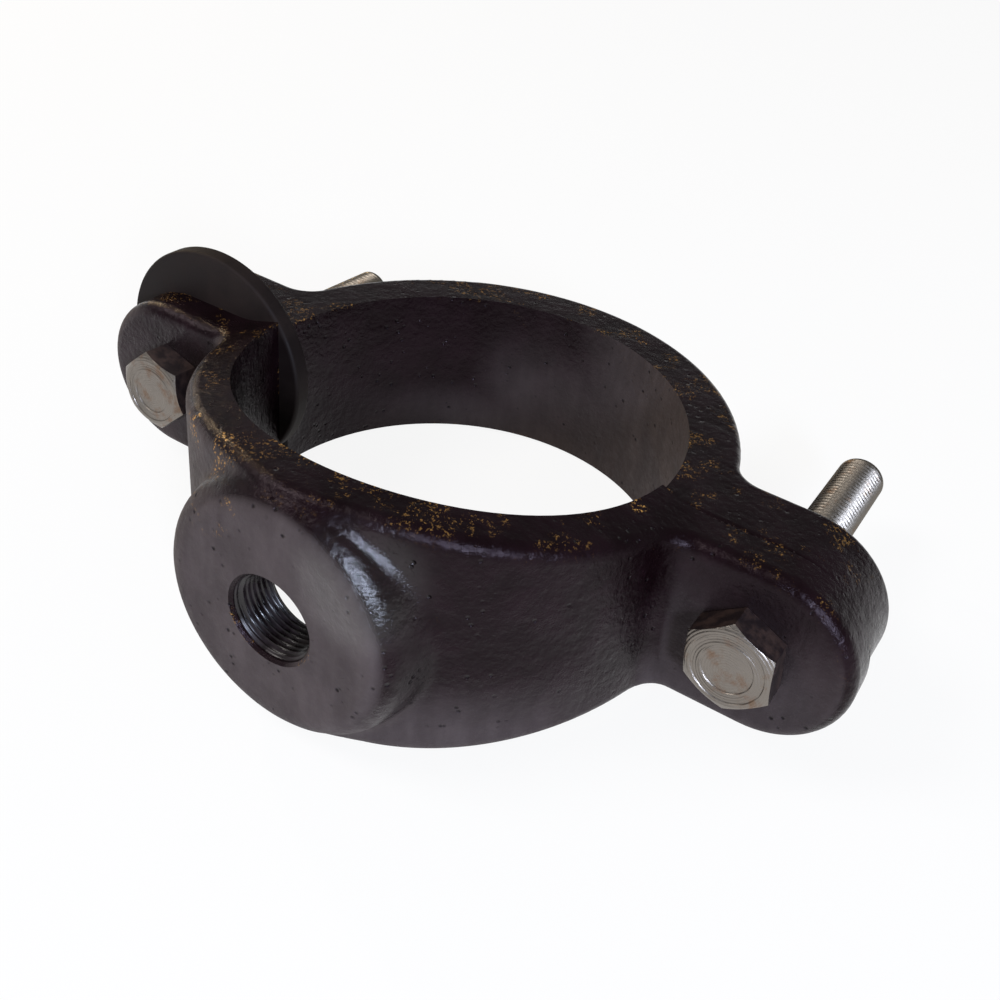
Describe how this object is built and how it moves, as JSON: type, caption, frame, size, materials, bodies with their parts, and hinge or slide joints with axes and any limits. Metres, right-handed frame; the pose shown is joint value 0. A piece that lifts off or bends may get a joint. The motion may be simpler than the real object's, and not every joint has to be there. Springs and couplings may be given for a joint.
{
  "type": "tapping saddle",
  "caption": "Two-part cast iron tapping saddle for a pipe, drawn together by long hexagon bolts, with a threaded outlet boss and a rubber seal ring.",
  "frame": {"origin": "on the pipe's axis, at the middle of the saddle's height", "axes": "+Z along the pipe's axis, -Y out of the threaded outlet, +X towards the bolt whose ears touch"},
  "size_m": [0.2732, 0.1775, 0.0851],
  "materials": {
    "coated_iron": "black bitumen dip coat",
    "seal_rubber": "moulded, matt",
    "bolt_steel": "plain, lightly rusted"
  },
  "bodies": {
    "saddle": {"saddle_half": "coated_iron", "seal_ring": "seal_rubber"},
    "strap": {"strap_half": "coated_iron"},
    "bolt_left": {"bolt_left": "bolt_steel"},
    "bolt_right": {"bolt_right": "bolt_steel"},
    "nut_left": {"nut_left": "bolt_steel"},
    "nut_right": {"nut_right": "bolt_steel"}
  },
  "joints": [
    {"name": "strap_slide", "type": "slide", "parent": "saddle", "child": "strap", "axis": [0, 0.9992, -0.0401], "range_m": [0, 0.045]},
    {"name": "bolt_right_spin", "type": "hinge", "parent": "saddle", "child": "bolt_right", "pos_m": [0.1048, -0.02091, 0.0008], "axis": [0, 0.9992, -0.0401], "continuous": true},
    {"name": "bolt_left_spin", "type": "hinge", "parent": "saddle", "child": "bolt_left", "pos_m": [-0.1048, -0.02091, 0.0008], "axis": [0, 0.9992, -0.0401], "continuous": true},
    {"name": "nut_right_spin", "type": "hinge", "parent": "strap", "child": "nut_right", "pos_m": [0.1048, -0.02091, 0.0008], "axis": [0, 0.9992, -0.0401], "continuous": true},
    {"name": "nut_left_spin", "type": "hinge", "parent": "strap", "child": "nut_left", "pos_m": [-0.1048, -0.02091, 0.0008], "axis": [0, 0.9992, -0.0401], "continuous": true}
  ]
}
